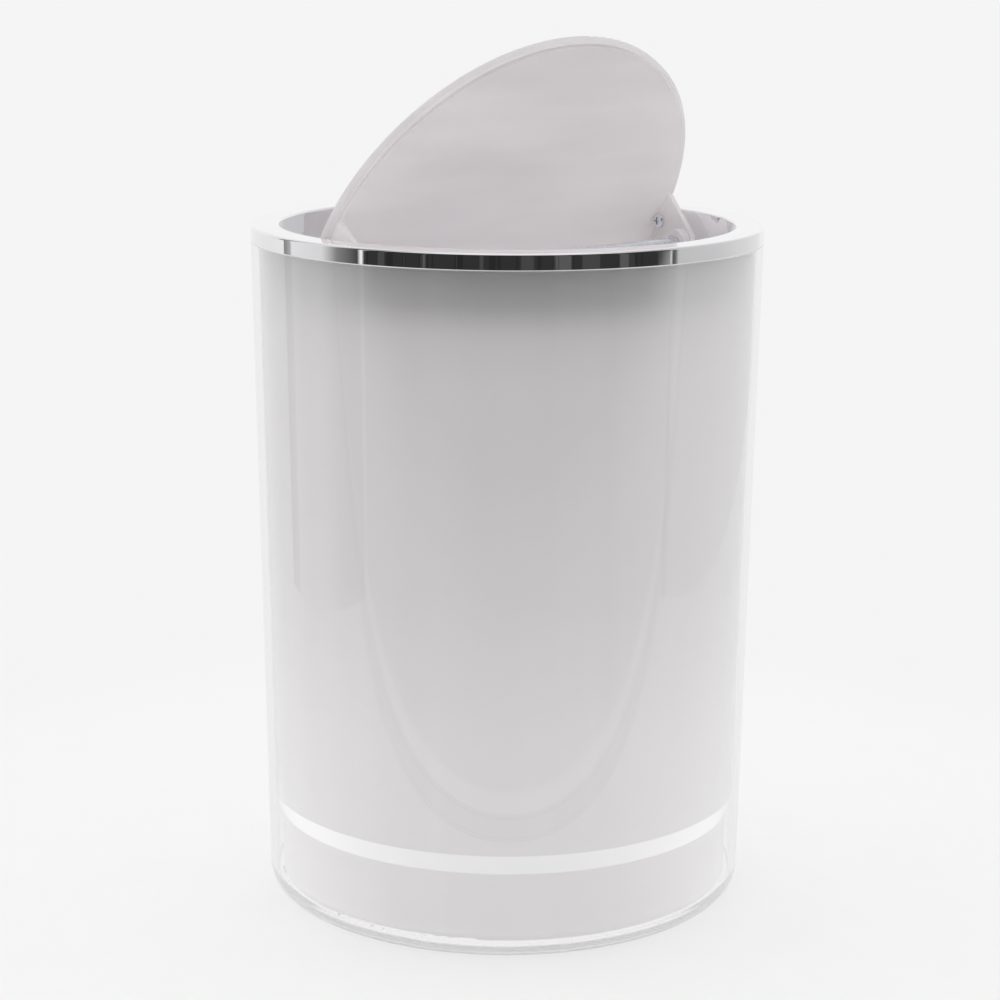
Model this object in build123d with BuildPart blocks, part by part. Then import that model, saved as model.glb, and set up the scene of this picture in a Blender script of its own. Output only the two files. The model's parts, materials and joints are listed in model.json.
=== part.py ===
"""Round swing-lid wastebasket, about 6 litres.

A clear outer shell holds a white liner, and a chrome ring plugs into the top of the
liner.  A flat round flap swings in the ring on two short pivots, and a steel rod
carried between its two ears keeps it level when it is let go.

Millimetres, +Z up.  The origin is the centre of the base on the floor, and +X runs
along the flap's swing axis.  The flap is drawn standing open at flap_opening degrees.
"""

import math
import os

from build123d import *

os.makedirs("parts", exist_ok=True)

# Overall
overall_radius = 92.5
ring_underside = 241.8
ring_height = 5.8
ring_rounding = 1.0
ring_foot_rounding = 0.3
ring_top = ring_underside + ring_height

# Outer shell: a slightly conical cup with a standing rim under its base
base_radius = 88.6
shell_top_radius = 92.4
shell_wall = 2.3
shell_floor_top = 4.0
shell_foot_recess = 1.5
shell_foot_inner_radius = 77.0
shell_corner = 6.0
shell_rim_rounding = 0.3

# Liner: stands on the shell's floor and steps in below a bevelled band
liner_gap = 0.4
liner_wall = 1.6
liner_floor = 1.8
liner_corner = 4.0
liner_rim_rounding = 0.4
band_bottom = 30.6
band_top = 38.2
band_step = 2.0

# Lid ring: channel section with a deep inner collar and a skirt that plugs the liner
collar_inner_radius = 82.2
collar_depth = 24.6
collar_top_rounding = 0.9
collar_foot_rounding = 0.7
ring_wall = 1.8
skirt_outer_radius = 87.6
skirt_wall = 1.6
skirt_depth = 9.0
skirt_foot_rounding = 0.5

# Flap, in its own frame: z = 0 at the swing axis, z rising to the outer face
axis_height = 242.85
flap_opening = 58.0
flap_radius = 81.5
flap_rim_plane = 2.6
flap_thickness = 3.5
cover_thickness = 1.8
cover_flange = 1.75
cover_edge_rounding = 1.3
flange_outer_rounding = 0.5
flange_inner_rounding = 0.4
plate_radius = 79.2
plate_thickness = 2.4
swing_sphere = 81.5
flange_clearance = 0.1

# Ears of the flap plate
ear_top_reach = 79.5
ear_lean = 6.2
ear_thickness = 2.2
ear_half_width = 11.5
ear_fillet = 1.2
ear_end_radius = 7.2
ear_hub_radius = 4.0
ear_hub_face = 81.1

# Counterweight rod and its sockets
rod_radius = 3.0
rod_drop = 14.8
rod_half_length = 75.0
rod_chamfer = 0.4
socket_face = 71.8
socket_radius = 6.2
socket_mouth_radius = 4.0
socket_mouth_depth = 1.6

# Pivots
fit_clearance = 0.05
cut_overrun = 1.0
bush_radius = 2.0
bush_chamfer = 0.2
boss_radius = 2.2
boss_face = 81.3
screw_radius = 1.2
screw_tip = 87.0
screw_hole_spare = 0.2
screw_head_radius = 2.7
screw_head_height = 1.4
screw_head_rounding = 0.8
recess_length = 2.8
recess_width = 0.6
recess_depth = 0.8
recess_draft = 8
screw_seat = 76.8
ear_seat_radius = 3.2
ear_seat_gap = 0.15
ear_seat_depth = 3.0
thread_boss_radius = 3.4
thread_boss_length = 4.0

flap_top = flap_rim_plane + flap_thickness
plate_top = flap_top - cover_thickness
plate_underside = plate_top - plate_thickness


def body_radius(z):
    """Radius of the shell's outer cone at height z."""
    return base_radius + (shell_top_radius - base_radius) * z / ring_underside


def liner_radius(z):
    """Outer radius of the liner at height z, above its bevelled band."""
    return body_radius(z) - shell_wall - liner_gap


def skirt_radius(z):
    """Outer radius of the liner at height z, below its bevelled band."""
    return liner_radius(z) - band_step


def publish(builder, name):
    """Labels a finished piece and writes it as its own node."""
    builder.part.label = name
    export_step(builder.part, f"parts/{name}.step")


def across(side, reach):
    """Plane square to the swing axis at the given reach, facing out at that side."""
    return Plane(origin=(side * reach, 0, axis_height), x_dir=(0, 1, 0), z_dir=(side, 0, 0))


# The flap's frame: x along the swing axis, z square to the flap towards its outer face
tilt = math.radians(flap_opening)
flap_plane = Plane(
    origin=(0, 0, axis_height),
    x_dir=(1, 0, 0),
    z_dir=(0, math.sin(tilt), math.cos(tilt)),
)
flap_section = Plane(origin=flap_plane.origin, x_dir=(1, 0, 0), z_dir=-flap_plane.y_dir)
flap_axis = Axis(flap_plane.origin, flap_plane.z_dir)


def flap_across(side, reach):
    """Plane square to the swing axis whose y points to the flap's outer face."""
    return Plane(
        origin=(side * reach, 0, axis_height),
        x_dir=flap_plane.z_dir.cross(Vector(side, 0, 0)),
        z_dir=(side, 0, 0),
    )


# Outer shell
with BuildPart() as outer_shell:
    with BuildSketch(Plane.XZ):
        with BuildLine():
            FilletPolyline(
                (0, shell_foot_recess),
                (shell_foot_inner_radius, shell_foot_recess),
                (shell_foot_inner_radius + shell_foot_recess, 0),
                (base_radius, 0),
                (body_radius(ring_underside), ring_underside),
                (body_radius(ring_underside) - shell_wall, ring_underside),
                (base_radius - shell_wall, shell_floor_top),
                (0, shell_floor_top),
                radius=[
                    0,
                    0,
                    0,
                    shell_corner,
                    shell_rim_rounding,
                    shell_rim_rounding,
                    shell_corner - shell_wall,
                    0,
                ],
                close=True,
            )
        make_face()
    revolve(axis=Axis.Z)
publish(outer_shell, "outer_shell")


# Inner liner
liner_bottom = shell_floor_top
with BuildPart() as inner_liner:
    with BuildSketch(Plane.XZ):
        with BuildLine():
            FilletPolyline(
                (0, liner_bottom),
                (skirt_radius(liner_bottom), liner_bottom),
                (skirt_radius(band_bottom), band_bottom),
                (liner_radius(band_top), band_top),
                (liner_radius(ring_underside), ring_underside),
                (liner_radius(ring_underside) - liner_wall, ring_underside),
                (liner_radius(band_top) - liner_wall, band_top),
                (skirt_radius(band_bottom) - liner_wall, band_bottom),
                (skirt_radius(liner_bottom) - liner_wall, liner_bottom + liner_floor),
                (0, liner_bottom + liner_floor),
                radius=[
                    0,
                    liner_corner,
                    0,
                    0,
                    liner_rim_rounding,
                    liner_rim_rounding,
                    0,
                    0,
                    liner_corner - liner_wall,
                    0,
                ],
                close=True,
            )
        make_face()
    revolve(axis=Axis.Z)
publish(inner_liner, "inner_liner")


# Lid ring
collar_outer_radius = collar_inner_radius + ring_wall
with BuildPart() as lid_ring:
    with BuildSketch(Plane.XZ):
        with BuildLine():
            FilletPolyline(
                (overall_radius, ring_underside),
                (overall_radius, ring_top),
                (collar_inner_radius, ring_top),
                (collar_inner_radius, ring_top - collar_depth),
                (collar_outer_radius, ring_top - collar_depth),
                (collar_outer_radius, ring_top - ring_wall),
                (skirt_outer_radius - skirt_wall, ring_top - ring_wall),
                (skirt_outer_radius - skirt_wall, ring_underside - skirt_depth),
                (skirt_outer_radius, ring_underside - skirt_depth),
                (skirt_outer_radius, ring_top - ring_wall),
                (overall_radius - ring_wall, ring_top - ring_wall),
                (overall_radius - ring_wall, ring_underside),
                radius=[
                    ring_foot_rounding,
                    ring_rounding,
                    collar_top_rounding,
                    collar_foot_rounding,
                    collar_foot_rounding,
                    0,
                    0,
                    skirt_foot_rounding,
                    skirt_foot_rounding,
                    0,
                    0,
                    ring_foot_rounding,
                ],
                close=True,
            )
        make_face()
    revolve(axis=Axis.Z)
    for side in (1, -1):
        with BuildSketch(across(side, collar_inner_radius + ring_wall / 2)):
            Circle(thread_boss_radius)
        extrude(amount=thread_boss_length)
        with BuildSketch(across(side, boss_face)):
            Circle(boss_radius)
        extrude(amount=collar_inner_radius - boss_face + ring_wall / 2)
        with BuildSketch(across(side, boss_face)):
            Circle(screw_radius + fit_clearance)
        extrude(amount=screw_tip - boss_face + screw_hole_spare, mode=Mode.SUBTRACT)
publish(lid_ring, "lid_ring")


# Pivots: a screw clamps a short bush against the ring, and the ear turns on the bush
def pivot_bush(side):
    """Bush between the screw's head and the ring's boss."""
    with BuildPart() as bush:
        with BuildSketch(across(side, screw_seat)):
            Circle(bush_radius)
            Circle(screw_radius + fit_clearance, mode=Mode.SUBTRACT)
        extrude(amount=boss_face - screw_seat)
        chamfer(bush.edges().filter_by(GeomType.CIRCLE).group_by(SortBy.RADIUS)[-1], bush_chamfer)
    return bush


def pivot_screw(side):
    """Pan-head screw with a cross recess, its head inside the ear."""
    with BuildPart() as screw:
        with BuildSketch(across(side, screw_seat - screw_head_height)):
            Circle(screw_head_radius)
        extrude(amount=screw_head_height)
        head_rim = screw.edges().filter_by(GeomType.CIRCLE).sort_by(Axis.X)
        fillet(head_rim[0] if side > 0 else head_rim[-1], screw_head_rounding)
        with BuildSketch(across(side, screw_seat)):
            Circle(screw_radius)
        extrude(amount=screw_tip - screw_seat)
        with BuildSketch(across(side, screw_seat - screw_head_height)):
            Rectangle(recess_length, recess_width)
            Rectangle(recess_width, recess_length)
        extrude(amount=recess_depth, taper=recess_draft, mode=Mode.SUBTRACT)
    return screw


for side, place in ((1, "right"), (-1, "left")):
    publish(pivot_bush(side), f"pivot_bush_{place}")
    publish(pivot_screw(side), f"pivot_screw_{place}")


# Flap cover: a shallow cap
with BuildPart() as flap_cover:
    with BuildSketch(flap_section):
        with BuildLine():
            FilletPolyline(
                (0, flap_top),
                (flap_radius, flap_top),
                (flap_radius, flap_rim_plane),
                (flap_radius - cover_flange, flap_rim_plane),
                (flap_radius - cover_flange, plate_top),
                (0, plate_top),
                radius=[0, cover_edge_rounding, flange_outer_rounding, flange_inner_rounding, 0, 0],
                close=True,
            )
        make_face()
    revolve(axis=flap_axis)
publish(flap_cover, "flap_cover")


def ear(side):
    """One ear of the flap plate with its rod socket, before the pivot hole."""
    lean = math.tan(math.radians(ear_lean))
    ear_end = -rod_drop - ear_end_radius
    end_shift = (flap_rim_plane - ear_end) * lean
    with BuildPart() as piece:
        with BuildSketch(flap_section):
            with BuildLine():
                inner_reach = ear_top_reach - ear_thickness
                FilletPolyline(
                    (inner_reach - 2 * ear_fillet, plate_underside),
                    (inner_reach + lean * (plate_underside - flap_rim_plane), plate_underside),
                    (inner_reach - end_shift, ear_end),
                    (ear_top_reach - end_shift, ear_end),
                    (ear_top_reach, flap_rim_plane),
                    (ear_top_reach, plate_top),
                    (inner_reach - 2 * ear_fillet, plate_top),
                    radius=[0, ear_fillet, 0, 0, 0, 0, 0],
                    close=True,
                )
            make_face()
        extrude(amount=2 * ear_half_width, both=True)
        with BuildSketch(flap_across(1, 0)):
            with BuildLine():
                Line((-ear_half_width, plate_top), (ear_half_width, plate_top))
                CenterArc((0, -rod_drop), ear_end_radius, 180, 180)
            make_hull()
        extrude(amount=overall_radius, mode=Mode.INTERSECT)
        with BuildSketch(flap_across(1, socket_face)):
            with Locations((0, -rod_drop)):
                Circle(socket_radius)
        extrude(amount=ear_top_reach - end_shift - socket_face)
        with BuildSketch(flap_across(1, ear_top_reach - ear_thickness)):
            Circle(ear_hub_radius)
        extrude(amount=ear_hub_face - ear_top_reach + ear_thickness)
    return piece.part if side > 0 else mirror(piece.part, about=Plane.YZ, mode=Mode.PRIVATE)


# Flap plate: the flap's underside with its two ears
ears = [ear(1), ear(-1)]
with BuildPart() as flap_plate:
    with BuildSketch(flap_plane.offset(plate_underside)):
        Circle(plate_radius)
    extrude(amount=plate_thickness)
    add(ears)
    # the ears stay under the cover's flange
    with BuildSketch(flap_plane.offset(flap_rim_plane - flange_clearance)):
        Circle(overall_radius)
        Circle(plate_radius, mode=Mode.SUBTRACT)
    extrude(amount=flap_thickness, mode=Mode.SUBTRACT)
    # and inside the sphere that the flap sweeps
    with Locations(flap_plane):
        Sphere(swing_sphere, mode=Mode.INTERSECT)
    for side in (1, -1):
        with BuildSketch(flap_across(side, screw_seat)):
            Circle(bush_radius + fit_clearance)
        extrude(amount=overall_radius - screw_seat, mode=Mode.SUBTRACT)
        with BuildSketch(flap_across(side, screw_seat + ear_seat_gap)):
            Circle(ear_seat_radius)
        extrude(amount=-ear_seat_depth, mode=Mode.SUBTRACT)
        with BuildSketch(flap_across(side, rod_half_length + ear_seat_gap)):
            with Locations((0, -rod_drop)):
                Circle(rod_radius + fit_clearance)
        extrude(amount=socket_face - rod_half_length - cut_overrun, mode=Mode.SUBTRACT)
        with BuildSketch(flap_across(side, socket_face + socket_mouth_depth)):
            with Locations((0, -rod_drop)):
                Circle(socket_mouth_radius)
        extrude(amount=-socket_mouth_depth - cut_overrun, mode=Mode.SUBTRACT)
publish(flap_plate, "flap_plate")


# Counterweight rod
with BuildPart() as counterweight_rod:
    with BuildSketch(flap_across(1, 0)):
        with Locations((0, -rod_drop)):
            Circle(rod_radius)
    extrude(amount=rod_half_length, both=True)
    chamfer(counterweight_rod.edges().filter_by(GeomType.CIRCLE), rod_chamfer)
publish(counterweight_rod, "counterweight_rod")
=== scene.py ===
"""Looks for the round swing-lid wastebasket: materials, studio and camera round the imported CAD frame."""

import json
import math

import bpy
from mathutils import Matrix, Vector

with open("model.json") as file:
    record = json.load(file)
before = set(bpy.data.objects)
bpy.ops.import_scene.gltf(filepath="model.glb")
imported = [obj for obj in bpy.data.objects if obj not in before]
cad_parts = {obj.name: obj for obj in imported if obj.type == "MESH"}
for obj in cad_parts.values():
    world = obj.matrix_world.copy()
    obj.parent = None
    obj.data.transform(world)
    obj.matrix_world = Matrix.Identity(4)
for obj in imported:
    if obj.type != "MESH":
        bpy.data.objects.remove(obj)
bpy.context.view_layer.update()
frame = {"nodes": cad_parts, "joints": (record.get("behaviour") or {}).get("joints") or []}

# Places on the part, in metres
FLAP_AXIS_HEIGHT = frame["joints"][0]["pos_m"][2]
BAND_FOOT = 0.0306
BAND_TOP = 0.0382
BAND_SOFTNESS = 0.0003
FOOT_RADIUS = 0.0885

# The camera, as a place before the bin and a heading, turned as a whole round the bin
VIEW_TURN = math.radians(-41.0)
CAMERA_PLACE = Vector((0.0022, -0.8668, 0.3436))
CAMERA_YAW = math.radians(0.284)
CAMERA_PITCH = math.radians(12.94)
CAMERA_ROLL = math.radians(0.32)
LENS_MM = 86.3
SENSOR_MM = 36.0


# ---------------------------------------------------------------- node helpers


class Graph:
    """Short calls for building one node tree."""

    def __init__(self, tree):
        self.tree = tree
        tree.nodes.clear()

    def put(self, socket, value):
        """Sets a node's input, or links it where the value is a socket."""
        if isinstance(value, bpy.types.NodeSocket):
            self.tree.links.new(value, socket)
        else:
            socket.default_value = value

    def add(self, kind, inputs=None, **settings):
        node = self.tree.nodes.new(kind)
        for name, value in settings.items():
            setattr(node, name, value)
        for key, value in (inputs or {}).items():
            self.put(node.inputs[key], value)
        return node

    def output(self, shader, kind="ShaderNodeOutputMaterial"):
        self.add(kind, {"Surface": shader.outputs[0]})

    def math(self, operation, a, b=0.0):
        return self.add("ShaderNodeMath", {0: a, 1: b}, operation=operation).outputs[0]

    def range(self, value, low, high, to_low, to_high):
        inputs = {"Value": value, "From Min": low, "From Max": high, "To Min": to_low, "To Max": to_high}
        return self.add("ShaderNodeMapRange", inputs, clamp=True).outputs[0]

    def ramp(self, factor, stops, interpolation="LINEAR"):
        """A grey that follows (place, grey) stops, with places from 0 to 1."""
        node = self.add("ShaderNodeValToRGB", {0: factor})
        node.color_ramp.interpolation = interpolation
        elements = node.color_ramp.elements
        while len(elements) < len(stops):
            elements.new(0.5)
        for element, (place, grey) in zip(elements, stops):
            element.position = place
            element.color = (grey, grey, grey, 1.0)
        return node.outputs["Color"]

    def ramp_over(self, distance, stops):
        """A grey that follows stops whose places are distances in metres."""
        first, last = stops[0][0], stops[-1][0]
        along = self.range(distance, first, last, 0.0, 1.0)
        return self.ramp(along, [((place - first) / (last - first), grey) for place, grey in stops])

    def mix_colour(self, factor, a, b, blend="MIX"):
        node = self.add("ShaderNodeMix", data_type="RGBA", blend_type=blend)
        for place, value in ((0, factor), (6, a), (7, b)):
            self.put(node.inputs[place], value)
        return node.outputs[2]

    def mix_shader(self, factor, a, b):
        return self.add("ShaderNodeMixShader", {0: factor, 1: a.outputs[0], 2: b.outputs[0]})

    def emission(self, grey):
        return self.add("ShaderNodeEmission", {"Color": (grey, grey, grey, 1)})

    def object_place(self):
        return self.add("ShaderNodeTexCoord").outputs["Object"]

    def height(self):
        """Height above the floor with the part at rest, in metres."""
        return self.add("ShaderNodeSeparateXYZ", {0: self.object_place()}).outputs["Z"]

    def noise(self, scale, stretch=(1, 1, 1), detail=3.0, roughness=0.5):
        """Noise in the object's own coordinates, stretched by direction."""
        mapped = self.add("ShaderNodeMapping", {"Vector": self.object_place(), "Scale": stretch})
        inputs = {"Vector": mapped.outputs[0], "Scale": scale, "Detail": detail, "Roughness": roughness}
        return self.add("ShaderNodeTexNoise", inputs).outputs["Fac"]

    def bump(self, height, strength, distance=0.0002):
        inputs = {"Height": height, "Strength": strength, "Distance": distance}
        return self.add("ShaderNodeBump", inputs).outputs[0]

    def lit_through(self, body, colour, share):
        """Lets part of the soft light through a thin moulded wall, once per wall and not once per face."""
        glow = self.add("ShaderNodeBsdfTranslucent", {"Color": colour})
        wall = self.mix_shader(share, body, glow)
        from_inside = self.math(
            "MULTIPLY",
            self.add("ShaderNodeNewGeometry").outputs["Backfacing"],
            self.add("ShaderNodeLightPath").outputs["Is Diffuse Ray"],
        )
        return self.mix_shader(from_inside, wall, self.add("ShaderNodeBsdfTransparent"))

    def without_end(self, shader, white):
        """Light that is mirrored on and on comes out as the white of the studio, and not as black."""
        depth = self.add("ShaderNodeLightPath").outputs["Glossy Depth"]
        return self.mix_shader(self.math("GREATER_THAN", depth, 1.5), shader, self.emission(white))

    def mirror_view(self):
        """1 for a reflection that is seen as one, and 0 for light that goes on to a matt surface."""
        path = self.add("ShaderNodeLightPath")
        direct = self.math("LESS_THAN", path.outputs["Diffuse Depth"], 0.5)
        return self.math("MULTIPLY", path.outputs["Is Glossy Ray"], direct)

    def seen_through(self):
        """1 for what is seen straight on or through clear plastic, and 0 for anything a reflection shows."""
        path = self.add("ShaderNodeLightPath")
        through = self.math("MAXIMUM", path.outputs["Is Camera Ray"], path.outputs["Is Transmission Ray"])
        return self.math("MULTIPLY", through, self.math("LESS_THAN", path.outputs["Glossy Depth"], 0.5))


def new_material(name):
    made = bpy.data.materials.new(name)
    made.use_nodes = True
    return made, Graph(made.node_tree)


def dress(material, *nodes):
    """Gives CAD nodes their material."""
    for name in nodes:
        mesh = frame["nodes"][name].data
        mesh.materials.clear()
        mesh.materials.append(material)


# ------------------------------------------------------------------- materials


# Painted light and shade on the liner by height, in metres: its colour is painted darker towards the top, for
# the shade under the ring, and lightest at its foot, which stands in light from the table
LINER_PAINTED_SHADE = [
    (0.0, 1.0),
    (0.075, 0.985),
    (0.13, 0.84),
    (0.225, 0.80),
    (0.2385, 0.70),
]
# Painted reflection by height: the liner's top is made metallic, so that it mirrors the dim room and looks
# darker, as the chrome ring's inner wall behind it would show through
PAINTED_COLLAR_SHEEN = [
    (0.20, 0.0),
    (0.22, 0.16),
    (0.23, 0.56),
    (0.238, 0.61),
]


def clear_shell_material():
    """Polished clear moulded plastic that lets the studio light reach the liner."""
    made, g = new_material("clear_shell")
    streaks = g.noise(90.0, stretch=(1, 1, 0.02), detail=4.0)
    smudges = g.noise(14.0, stretch=(1, 1, 0.6), detail=5.0)
    haze = g.math("ADD", g.range(smudges, 0.45, 0.8, 0.0, 0.03), g.range(streaks, 0.4, 0.8, 0.0, 0.03))
    above_foot = g.range(g.height(), 0.008, 0.03, 0.0, 1.0)
    glass = g.add(
        "ShaderNodeBsdfGlass",
        {
            "Color": (0.992, 0.992, 0.992, 1),
            "Roughness": haze,
            "IOR": 1.49,
            "Normal": g.bump(g.math("MULTIPLY", streaks, above_foot), 0.004),
        },
    )
    open_to_light = g.add("ShaderNodeBsdfTransparent", {"Color": (0.99, 0.99, 0.99, 1)})
    path = g.add("ShaderNodeLightPath")
    passes = g.math("MAXIMUM", path.outputs["Is Shadow Ray"], path.outputs["Is Diffuse Ray"])
    g.output(g.mix_shader(passes, g.without_end(glass, white=0.66), open_to_light))
    return made


def liner_material():
    """White moulded plastic, a little translucent, with a faint lilac cast, painted shade darkening it
    towards the top, a painted metal sheen at the very top and a lighter band painted on as a highlight.
    """
    made, g = new_material("liner_plastic")
    drift = g.noise(9.0, stretch=(1, 1, 0.4), detail=4.0)
    streaks = g.noise(120.0, stretch=(1, 1, 0.015))
    height = g.height()
    plain = g.mix_colour(
        g.range(drift, 0.3, 0.7, 0.0, 1.0),
        (0.73, 0.715, 0.722, 1),
        (0.75, 0.735, 0.742, 1),
    )
    streaky = g.mix_colour(g.range(streaks, 0.3, 0.7, 0.0, 0.5), plain, (0.80, 0.79, 0.795, 1))
    # Painted shade: the colour is multiplied darker towards the top and kept lightest at the foot.
    shaded = g.mix_colour(1.0, streaky, g.ramp_over(height, LINER_PAINTED_SHADE), "MULTIPLY")
    on_band = g.math(
        "MULTIPLY",
        g.range(height, BAND_FOOT, BAND_FOOT + BAND_SOFTNESS, 0, 1),
        g.range(height, BAND_TOP - BAND_SOFTNESS, BAND_TOP, 1, 0),
    )
    painted_collar_sheen = g.ramp_over(height, PAINTED_COLLAR_SHEEN)
    body = g.add(
        "ShaderNodeBsdfPrincipled",
        {
            # Painted highlight: the band over the bevelled step is painted a lighter white, for the light the
            # bevel catches.
            "Base Color": g.mix_colour(on_band, shaded, (0.90, 0.898, 0.907, 1)),
            # Painted reflection: the liner turns metallic near its top, by height.
            "Metallic": painted_collar_sheen,
            "Roughness": g.range(drift, 0.2, 0.8, 0.38, 0.48),
            "Coat Weight": 0.6,
            "Coat Roughness": 0.3,
            "Normal": g.bump(g.noise(260.0), 0.03),
        },
    )
    share = g.math("SUBTRACT", 0.45, g.math("MULTIPLY", on_band, 0.20))
    share = g.math("SUBTRACT", share, g.math("MULTIPLY", painted_collar_sheen, 0.6))
    g.output(g.lit_through(body, (0.92, 0.91, 0.915, 1), share))
    return made


def chrome_material():
    """Bright chrome plating with fine wiping marks and a few smudges."""
    made, g = new_material("chrome")
    wiping = g.noise(60.0, stretch=(0.3, 0.3, 14), detail=6.0, roughness=0.7)
    smudges = g.noise(30.0, detail=4.0)
    plating = g.add(
        "ShaderNodeBsdfPrincipled",
        {
            "Base Color": g.mix_colour(
                g.range(smudges, 0.3, 0.7, 0, 1),
                (0.86, 0.86, 0.87, 1),
                (0.80, 0.80, 0.815, 1),
            ),
            "Metallic": 1.0,
            "Roughness": g.math(
                "ADD",
                g.range(smudges, 0.5, 0.8, 0.02, 0.1),
                g.range(wiping, 0.5, 0.85, 0.0, 0.06),
            ),
            "Normal": g.bump(g.noise(45.0, detail=4.0), 0.055),
        },
    )
    g.output(g.without_end(plating, white=0.72))
    return made


def flap_material(name, white, share, painted_shade_amount=0.0):
    """Glossy white plastic with soft moulding waves in its surface, a random drift of tone, faint streaks
    painted in as reflections, and painted shade that darkens it by the given amount far above the flap's
    axis.
    """
    made, g = new_material(name)
    drift = g.noise(11.0, detail=4.0)
    fine = g.noise(420.0, detail=2.0)
    # Faint streaks painted into the colour as reflections.
    painted_streaks = g.noise(13.0, stretch=(1, 1, 6), detail=2.0)
    plain = g.mix_colour(
        g.range(drift, 0.3, 0.7, 0.0, 1.0),
        (white, white * 0.97, white * 0.985, 1),
        (white * 1.03, white, white * 1.01, 1),
    )
    # Painted shade: the colour darkens by height far above the flap's axis.
    painted_light = g.range(g.height(), FLAP_AXIS_HEIGHT - 0.01, FLAP_AXIS_HEIGHT + 0.07, 1.0, 1.0 - painted_shade_amount)
    # Painted reflection: faint streaks lighten and darken the colour.
    painted_light = g.math("MULTIPLY", painted_light, g.range(painted_streaks, 0.35, 0.65, 0.97, 1.02))
    waves = g.math("ADD", g.noise(18.0, detail=1.0), g.math("MULTIPLY", fine, 0.05))
    body = g.add(
        "ShaderNodeBsdfPrincipled",
        {
            "Base Color": g.mix_colour(1.0, plain, painted_light, "MULTIPLY"),
            "Roughness": g.range(drift, 0.2, 0.8, 0.1, 0.22),
            "Normal": g.bump(waves, 0.05),
        },
    )
    glow = g.mix_colour(1.0, (0.99, 0.955, 0.965, 1), painted_light, "MULTIPLY")
    g.output(g.lit_through(body, glow, share))
    return made


def steel_material():
    """Zinc-plated steel, turned, with a cool cast."""
    made, g = new_material("steel")
    turned = g.noise(900.0, stretch=(1, 0.05, 0.05))
    spangle = g.range(g.noise(160.0), 0.3, 0.7, 0, 1)
    body = g.add(
        "ShaderNodeBsdfPrincipled",
        {
            "Base Color": g.mix_colour(spangle, (0.60, 0.62, 0.66, 1), (0.74, 0.76, 0.80, 1)),
            "Metallic": 1.0,
            "Roughness": g.range(turned, 0.3, 0.7, 0.14, 0.3),
            "Normal": g.bump(turned, 0.08),
        },
    )
    g.output(body)
    return made


def nylon_material():
    """Plain off-white nylon."""
    made, g = new_material("bush_plastic")
    grain = g.noise(700.0)
    mottle = g.range(grain, 0.3, 0.7, 0, 1)
    body = g.add(
        "ShaderNodeBsdfPrincipled",
        {
            "Base Color": g.mix_colour(mottle, (0.74, 0.72, 0.66, 1), (0.82, 0.80, 0.75, 1)),
            "Roughness": g.range(grain, 0.2, 0.8, 0.4, 0.6),
            "Normal": g.bump(grain, 0.1),
        },
    )
    g.output(body)
    return made


dress(clear_shell_material(), "outer_shell")
dress(liner_material(), "inner_liner")
dress(chrome_material(), "lid_ring")
dress(flap_material("flap_cover_plastic", white=0.60, share=0.54), "flap_cover")
# The plate's colour carries painted shade far above the axis.
dress(flap_material("flap_plate_plastic", white=0.97, share=0.50, painted_shade_amount=0.24), "flap_plate")
dress(steel_material(), "counterweight_rod", "pivot_screw_left", "pivot_screw_right")
dress(nylon_material(), "pivot_bush_left", "pivot_bush_right")


# ---------------------------------------------------------------------- studio
# A paper-covered table with its front edge just before the bin, a white card on each
# side of it, a bright wall behind and a dim room in front. The studio is laid out with
# the camera on its -Y side, and turned as a whole to where the camera stands.


STUDIO_TURN = Matrix.Rotation(VIEW_TURN, 4, "Z")
FLOOR_RADIUS = 30.0
FLOOR_DROP = 0.0002
FLOOR_CORNERS = 96
BACKGROUND = 0.905

# The table's front edge, from its left corner to its right
TABLE_CORNER_LEFT = Vector((-0.440, -0.236))
TABLE_CORNER_RIGHT = Vector((0.470, -0.200))
TABLE_SLOPE = (TABLE_CORNER_RIGHT.y - TABLE_CORNER_LEFT.y) / (TABLE_CORNER_RIGHT.x - TABLE_CORNER_LEFT.x)
TABLE_MIDDLE = TABLE_CORNER_LEFT.y - TABLE_SLOPE * TABLE_CORNER_LEFT.x

# The table's front as mirrors show it: a trim between two dark joints, then a bright edge, and
# then the floor that the table lights, as (metres before the edge, grey)
TRIM_WIDTH = 0.0232
JOINT_WIDTH = 0.0016
JOINT_GREY = 0.05
EDGE_WIDTH = 0.026
SOFT_STEP = 0.0005
TABLE_TRIM = [
    (-TRIM_WIDTH - JOINT_WIDTH, JOINT_GREY),
    (-TRIM_WIDTH, JOINT_GREY),
    (-TRIM_WIDTH + SOFT_STEP, 0.66),
    (-JOINT_WIDTH, 0.66),
    (-JOINT_WIDTH + SOFT_STEP, JOINT_GREY),
    (SOFT_STEP, JOINT_GREY),
    (2 * SOFT_STEP, 1.0),
    (EDGE_WIDTH, 1.0),
]
ROOM_FLOOR = [
    (EDGE_WIDTH, 0.62),
    (0.20, 0.56),
    (0.60, 0.0),
]

# The cards, by the places where they start and end on the table
CARD_HEIGHT = 1.6
LEFT_CARD_FRONT = Vector((-0.440, -0.259))
LEFT_CARD_BACK = Vector((-0.475, 0.140))
RIGHT_CARD_FRONT = Vector((0.470, -0.1805))
RIGHT_CARD_BACK = Vector((0.700, 1.100))

# Stops round the bin are (degrees from the camera's side, growing to its right, grey or strength)
LEFT_CARD = [
    (-106, 0.25),
    (-100.5, 0.50),
    (-100, 0.88),
    (-80, 0.80),
    (-72, 0.25),
    (-61, 0.05),
    (-60.5, 0.95),
]
RIGHT_CARD = [
    (69.5, 0.95),
    (70, 0.06),
    (72, 0.20),
    (73, 0.60),
    (150, 0.87),
]
ROOM = [
    (-180, 0.87),
    (-150, 0.80),
    (-120, 0.25),
    (75, 0.60),
    (105, 0.75),
    (150, 0.87),
]

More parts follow.
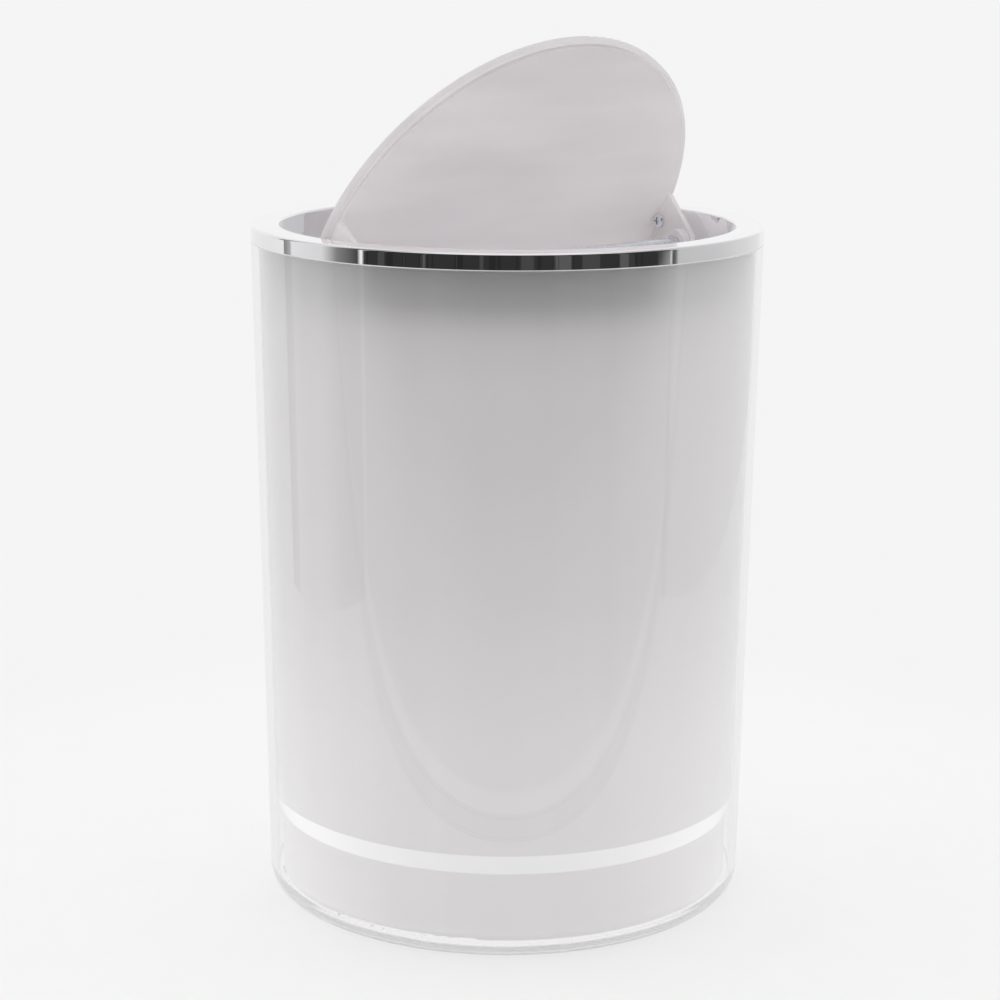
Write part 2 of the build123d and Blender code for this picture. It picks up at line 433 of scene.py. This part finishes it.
# Where the room is dim, and the greys of the shapes in it, by the noise that lays them out
DIM_PART = [
    (-180, 0.0),
    (-64, 1.0),
    (75, 0.0),
]
DIM_SHAPES = [
    (0.0, 0.07),
    (0.40, 0.035),
    (0.53, 0.025),
    (0.58, 0.05),
    (0.64, 0.11),
]

# What mirrors show high up and behind the bin
MIRRORED_CEILING = (0.98, 0.98, 0.98, 1)
MIRRORED_WALL = (0.97, 0.97, 0.97, 1)

# The soft light on matt surfaces: two big side lights, less from the front, and the ceiling
SOFT_LIGHT = [
    (-180, 1.2),
    (-135, 2.0),
    (-90, 2.05),
    (-60, 1.24),
    (-30, 0.88),
    (40, 0.89),
    (80, 1.45),
    (120, 1.75),
    (180, 1.2),
]
CEILING_LIGHT = (1.25, 1.25, 1.25, 1)

# Light from low side lamps that the paper throws up beside the bin, and how far out it reaches
SIDE_GLOW = [
    (-180, 0.0),
    (-140, 0.8),
    (-95, 2.4),
    (-60, 0.9),
    (-25, 0.1),
    (25, 0.1),
    (60, 0.9),
    (95, 2.3),
    (140, 0.8),
    (180, 0.0),
]
GLOW_FROM = 0.10
GLOW_TO = 0.34

# The clear foot carries this much light in under the liner
PIPED_LIGHT = 0.75

# How far the paper bleaches out to the background, near the bin, away from it and in mirrors
SHADOW_FROM = 0.12
SHADOW_TO = 0.32
BLEACH_NEAR = 0.50
BLEACH_FAR = 0.95
BLEACH_MIRRORED = 0.85


def around(g, vector):
    """Azimuth of a direction or place, from 0 to 1 with the camera's side at 0.5, and its parts."""
    turned = g.add(
        "ShaderNodeVectorRotate",
        {"Vector": vector, "Axis": (0, 0, 1), "Angle": -VIEW_TURN},
        rotation_type="AXIS_ANGLE",
    )
    parts = g.add("ShaderNodeSeparateXYZ", {0: turned.outputs[0]})
    ahead = g.math("MULTIPLY", parts.outputs["Y"], -1.0)
    azimuth = g.math("ARCTAN2", parts.outputs["X"], ahead)
    return g.range(azimuth, -math.pi, math.pi, 0.0, 1.0), parts


def panels(g, azimuth, stops, interpolation="LINEAR"):
    return g.ramp(azimuth, [(0.5 + place / 360, value) for place, value in stops], interpolation)


def room(g, azimuth):
    """What stands round the bin, with upright shapes of slightly different greys where it is dim."""
    layout = g.add(
        "ShaderNodeTexNoise",
        {"W": azimuth, "Scale": 24.0, "Detail": 3.0, "Roughness": 0.7},
        noise_dimensions="1D",
    )
    dim = g.ramp(layout.outputs["Fac"], DIM_SHAPES, "CONSTANT")
    in_front = panels(g, azimuth, DIM_PART, "CONSTANT")
    return g.mix_colour(in_front, panels(g, azimuth, ROOM, "CONSTANT"), dim)


def studio_world():
    world = bpy.data.worlds.new("studio")
    bpy.context.scene.world = world
    world.use_nodes = True
    g = Graph(world.node_tree)
    azimuth, parts = around(g, g.add("ShaderNodeTexCoord").outputs["Generated"])
    ceiling = g.range(parts.outputs["Z"], 0.45, 0.75, 0.0, 1.0)
    behind = g.range(parts.outputs["Y"], 0.5, 0.7, 0.0, 1.0)
    mirrored = g.mix_colour(behind, room(g, azimuth), MIRRORED_WALL)
    mirrored = g.mix_colour(ceiling, mirrored, MIRRORED_CEILING)
    soft = g.mix_colour(ceiling, panels(g, azimuth, SOFT_LIGHT), CEILING_LIGHT)
    light = g.mix_colour(g.mirror_view(), soft, mirrored)
    lit = g.add("ShaderNodeBackground", {"Color": light})
    seen = g.add("ShaderNodeBackground", {"Color": (BACKGROUND, BACKGROUND, BACKGROUND, 1)})
    g.output(g.mix_shader(g.seen_through(), lit, seen), "ShaderNodeOutputWorld")


def paper(g, before_edge, diffuse_ray):
    """White paper with a faint grain. Past the table's edge it bounces light as the room's floor does."""
    grain = g.range(g.noise(40.0, detail=5.0), 0.3, 0.7, 0.0, 1.0)
    sheet = g.mix_colour(grain, (0.77, 0.77, 0.77, 1), (0.785, 0.785, 0.785, 1))
    beyond = g.range(before_edge, -0.001, 0.001, 0.0, 1.0)
    bounced = g.mix_colour(beyond, sheet, (0.80, 0.80, 0.80, 1))
    return g.add("ShaderNodeBsdfDiffuse", {"Color": g.mix_colour(diffuse_ray, sheet, bounced)})


def side_glow(g, azimuth, reach, diffuse_ray):
    """The low side lamps' light, which only matt surfaces take up."""
    strength = g.math("MULTIPLY", panels(g, azimuth, SIDE_GLOW), g.range(reach, GLOW_FROM, GLOW_TO, 1.0, 0.0))
    strength = g.math("MULTIPLY", strength, diffuse_ray)
    return g.add("ShaderNodeEmission", {"Color": (1, 1, 1, 1), "Strength": strength})


def table_front(g, azimuth, before_edge):
    """The table's trim and edge, and the room's floor and what stands on it past them."""
    trim = g.ramp_over(before_edge, TABLE_TRIM)
    past = g.mix_colour(1.0, g.ramp_over(before_edge, ROOM_FLOOR), room(g, azimuth), "ADD")
    past_trim = g.math("GREATER_THAN", before_edge, EDGE_WIDTH)
    return g.add("ShaderNodeEmission", {"Color": g.mix_colour(past_trim, trim, past)})


def floor_material():
    """White paper. In reflections the table ends, and the room's floor begins."""
    made, g = new_material("floor_paper")
    place = g.add("ShaderNodeNewGeometry").outputs["Position"]
    azimuth, parts = around(g, place)
    edge = g.math("ADD", g.math("MULTIPLY", parts.outputs["X"], TABLE_SLOPE), TABLE_MIDDLE)
    before_edge = g.math("SUBTRACT", edge, parts.outputs["Y"])
    past_table = g.math("GREATER_THAN", before_edge, TABLE_TRIM[0][0])
    reach = g.add("ShaderNodeVectorMath", {0: place}, operation="LENGTH").outputs["Value"]
    path = g.add("ShaderNodeLightPath")
    diffuse_ray = path.outputs["Is Diffuse Ray"]

    sheet = paper(g, before_edge, diffuse_ray)
    glow = side_glow(g, azimuth, reach, diffuse_ray)
    lit = g.add("ShaderNodeAddShader", {0: sheet.outputs[0], 1: glow.outputs[0]})
    off_table = g.math("MULTIPLY", past_table, g.mirror_view())
    shown = g.mix_shader(off_table, lit, table_front(g, azimuth, before_edge))
    under_foot = g.math("MULTIPLY", g.math("LESS_THAN", reach, FOOT_RADIUS), diffuse_ray)
    shown = g.mix_shader(under_foot, shown, g.emission(PIPED_LIGHT))

    away = g.range(reach, SHADOW_FROM, SHADOW_TO, BLEACH_NEAR, BLEACH_FAR)
    away = g.math("MAXIMUM", away, path.outputs["Is Transmission Ray"])
    seen = g.math("MULTIPLY", g.seen_through(), away)
    on_table = g.math("MULTIPLY", g.math("SUBTRACT", 1.0, past_table), BLEACH_MIRRORED)
    bleached = g.math("MAXIMUM", seen, g.math("MULTIPLY", on_table, g.mirror_view()))
    g.output(g.mix_shader(bleached, shown, g.emission(BACKGROUND)))
    return made


def stage_mesh(name, points, faces, material):
    mesh = bpy.data.meshes.new(name)
    mesh.from_pydata(points, [], faces)
    made = bpy.data.objects.new(name, mesh)
    bpy.context.scene.collection.objects.link(made)
    made.matrix_world = STUDIO_TURN
    mesh.materials.append(material)
    return made


def pale_floor():
    turns = [i * math.tau / FLOOR_CORNERS for i in range(FLOOR_CORNERS)]
    rim = [(FLOOR_RADIUS * math.cos(turn), FLOOR_RADIUS * math.sin(turn), 0.0) for turn in turns]
    floor = stage_mesh("floor", rim, [tuple(range(FLOOR_CORNERS))], floor_material())
    floor.location.z = -FLOOR_DROP


def mirrored_card(name, front, back, stops):
    """A tall card that only mirrors show, standing between two places on the table."""
    made, g = new_material(name)
    azimuth, _ = around(g, g.add("ShaderNodeNewGeometry").outputs["Position"])
    g.output(g.add("ShaderNodeEmission", {"Color": panels(g, azimuth, stops)}))
    points = [(*front, 0.0), (*back, 0.0), (*back, CARD_HEIGHT), (*front, CARD_HEIGHT)]
    card = stage_mesh(name, points, [(0, 1, 2, 3)], made)
    card.visible_camera = False
    card.visible_diffuse = False
    card.visible_transmission = False
    card.visible_shadow = False


def add_camera():
    data = bpy.data.cameras.new("camera")
    data.lens = LENS_MM
    data.sensor_width = SENSOR_MM
    data.clip_start = 0.01
    data.clip_end = 100.0
    camera = bpy.data.objects.new("camera", data)
    bpy.context.scene.collection.objects.link(camera)
    camera.matrix_world = (
        STUDIO_TURN
        @ Matrix.Translation(CAMERA_PLACE)
        @ Matrix.Rotation(CAMERA_YAW, 4, "Z")
        @ Matrix.Rotation(math.pi / 2 - CAMERA_PITCH, 4, "X")
        @ Matrix.Rotation(CAMERA_ROLL, 4, "Z")
    )
    bpy.context.scene.camera = camera


bpy.context.scene.view_settings.view_transform = "Standard"
studio_world()
pale_floor()
mirrored_card("left_card", LEFT_CARD_FRONT, LEFT_CARD_BACK, LEFT_CARD)
mirrored_card("right_card", RIGHT_CARD_FRONT, RIGHT_CARD_BACK, RIGHT_CARD)
add_camera()
